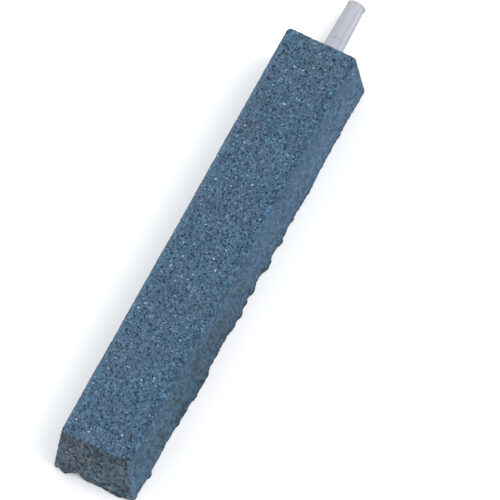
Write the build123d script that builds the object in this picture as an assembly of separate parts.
from build123d import *
import math
import os

# Air stone, long bar type, for ponds and large aquariums.
#
# A bar of bonded mineral grit with a blind air channel cored along its middle.
# A plastic inlet tube is bonded into a socket at one end. Air fills the channel
# and seeps out through the pores of the whole bar.
#
# Frame: millimetres. +X points out of the inlet end, along the tube. +Z is up.
# The bar lies on its widest face, the one that was open in the mould, at z = 0.
# The origin is the centre of that face. The bar is symmetric about y = 0.

# ---- stone body ----------------------------------------------------------
BASE_LENGTH = 154.0        # along X at z = 0
BASE_WIDTH = 27.0          # along Y at z = 0
HEIGHT = 22.5
MOULD_DRAFT = math.radians(5.3)  # on all four upright faces, narrower on top
CORNER_R = 1.2             # upright corners
TOP_EDGE_R = 1.0           # rim of the top face
BASE_EDGE_R = 0.5          # rim of the base face

AXIS_Z = 6.5               # height of the inlet axis above the base
CHANNEL_R = 2.5
CHANNEL_END_WALL = 15.0    # from the far end, at base level, to the channel's round tip centre
CHANNEL_OVERLAP = 1.0      # channel cutter runs this far into the socket
SOCKET_R = 3.5             # counterbore that takes the inlet tube
SOCKET_DEPTH = 15.5        # from the inlet end at base level
SOCKET_OVERSHOOT = 5.0     # socket cutter runs this far past the inlet end

# ---- inlet tube ----------------------------------------------------------
BORE_R = 2.0
ROOT_R = 2.85              # buried end, tapered to ease it into the socket
SEAT_R = 3.10              # straight land next to the stone, where the hose ends up
NECK_R = 2.84              # just behind the lip
LIP_R = 3.08               # rolled lip that keeps the hose on
BURIED_X = 62.0            # buried end
SEAT_X0 = 77.6             # start of the straight land, just clear of the bead
SEAT_LENGTH = 5.0
TIP_X = 98.0               # free end
LIP_BACK = 1.6             # neck, back from the tip
LIP_START = 0.7            # full lip radius begins, back from the tip
LIP_CHAMFER = 0.3          # length of the chamfer at the lip's outer edge
ROOT_CHAMFER = 0.4         # length of the chamfer at the buried end
EDGE_BREAK = 0.25          # radial size of the tube's chamfers

# ---- adhesive ------------------------------------------------------------
ADHESIVE_X0 = 63.0         # inner end of the adhesive in the socket
BEAD_R = 4.7               # adhesive squeezed out round the tube's root
BEAD_HEIGHT = 0.9          # how far the bead stands off the end face
BEAD_SUNK = 0.8            # bead blank below the end face, trimmed by the stone

# Dome of the bead: (distance in from BEAD_R, fraction of BEAD_HEIGHT)
BEAD_DOME = [(0, 0), (0.20, 0.40), (0.60, 0.75), (1.10, 0.95), (1.45, 1)]

# ---- derived -------------------------------------------------------------
inset = HEIGHT * math.tan(MOULD_DRAFT)
inlet_end_x = BASE_LENGTH / 2
face_x = inlet_end_x - AXIS_Z * math.tan(MOULD_DRAFT)  # end face at axis height
socket_floor_x = inlet_end_x - SOCKET_DEPTH
channel_end_x = -BASE_LENGTH / 2 + CHANNEL_END_WALL
seat_x1 = SEAT_X0 + SEAT_LENGTH

# Outside of the tube from the buried end to the end of the land: (x, radius)
ROOT_OUTLINE = [
    (BURIED_X, ROOT_R - EDGE_BREAK),
    (BURIED_X + ROOT_CHAMFER, ROOT_R),
    (SEAT_X0, SEAT_R),
    (seat_x1, SEAT_R),
]


def along_x(radius, x0, x1):
    """A solid cylinder on the inlet axis from x0 to x1."""
    return Pos((x0 + x1) / 2, 0, AXIS_Z) * Rot(0, 90, 0) * Cylinder(radius, x1 - x0)


def turned(points):
    """A solid of revolution about the inlet axis from (x, radius) points."""
    outline = Polyline(*[Vector(x, 0, AXIS_Z + radius) for x, radius in points], close=True)
    return revolve(make_face(outline), axis=Axis((0, 0, AXIS_Z), (1, 0, 0)), revolution_arc=360)


def make_block():
    """The moulded bar before coring: a frustum with rounded edges."""
    bottom = Plane.XY * Rectangle(BASE_LENGTH, BASE_WIDTH)
    top = Plane.XY.offset(HEIGHT) * Rectangle(BASE_LENGTH - 2 * inset, BASE_WIDTH - 2 * inset)
    block = loft([bottom, top], ruled=True)
    # Only the four corner edges climb nearly the full height.
    uprights = [
        edge
        for edge in block.edges()
        if abs(edge.position_at(0).Z - edge.position_at(1).Z) > HEIGHT * 0.9
    ]
    block = fillet(uprights, CORNER_R)
    block = fillet(block.faces().sort_by(Axis.Z)[-1].edges(), TOP_EDGE_R)
    return fillet(block.faces().sort_by(Axis.Z)[0].edges(), BASE_EDGE_R)


def make_stone_body():
    """The bar with its round-ended channel and the socket cut away."""
    channel = along_x(CHANNEL_R, channel_end_x, socket_floor_x + CHANNEL_OVERLAP)
    channel_tip = Pos(channel_end_x, 0, AXIS_Z) * Sphere(CHANNEL_R)
    socket = along_x(SOCKET_R, socket_floor_x, inlet_end_x + SOCKET_OVERSHOOT)
    return make_block() - (channel + channel_tip) - socket


def make_inlet_tube():
    """The tube: tapered root, straight land, neck and rolled lip."""
    return turned([
        (BURIED_X, BORE_R),
        *ROOT_OUTLINE,
        (TIP_X - LIP_BACK, NECK_R),
        (TIP_X - LIP_START, LIP_R),
        (TIP_X - LIP_CHAMFER, LIP_R),
        (TIP_X, LIP_R - EDGE_BREAK),
        (TIP_X, BORE_R + EDGE_BREAK),
        (TIP_X - EDGE_BREAK, BORE_R),
    ])


def make_bead():
    """The domed disc of adhesive, square to the drafted end face."""
    outline = Polyline(
        (0, -BEAD_SUNK),
        (BEAD_R, -BEAD_SUNK),
        *[(BEAD_R - inward, BEAD_HEIGHT * rise) for inward, rise in BEAD_DOME],
        (0, BEAD_HEIGHT),
        close=True,
    )
    end_face = Plane(
        origin=(face_x, 0, AXIS_Z),
        x_dir=(0, 1, 0),
        z_dir=(math.cos(MOULD_DRAFT), 0, math.sin(MOULD_DRAFT)),
    )
    return end_face * revolve(make_face(Plane.XZ * outline), axis=Axis.Z, revolution_arc=360)


def make_adhesive_seal(stone_body):
    """Cured ring between tube and socket, with the bead outside.

    Its inner wall is the tube's own surface.
    """
    tube_filled = turned([(BURIED_X, 0.0), *ROOT_OUTLINE, (seat_x1, 0.0)])
    ring = along_x(SOCKET_R, ADHESIVE_X0, face_x)
    return (ring + make_bead()) - tube_filled - stone_body


# ---- write one STEP per piece --------------------------------------------
stone_body = make_stone_body()
pieces = {
    "stone_body": stone_body,
    "inlet_tube": make_inlet_tube(),
    "adhesive_seal": make_adhesive_seal(stone_body),
}
os.makedirs("parts", exist_ok=True)
for name, shape in pieces.items():
    solids = shape.solids()
    if len(solids) != 1:
        raise SystemExit(f"{name} came out as {len(solids)} solids")
    export_step(solids[0], f"parts/{name}.step")
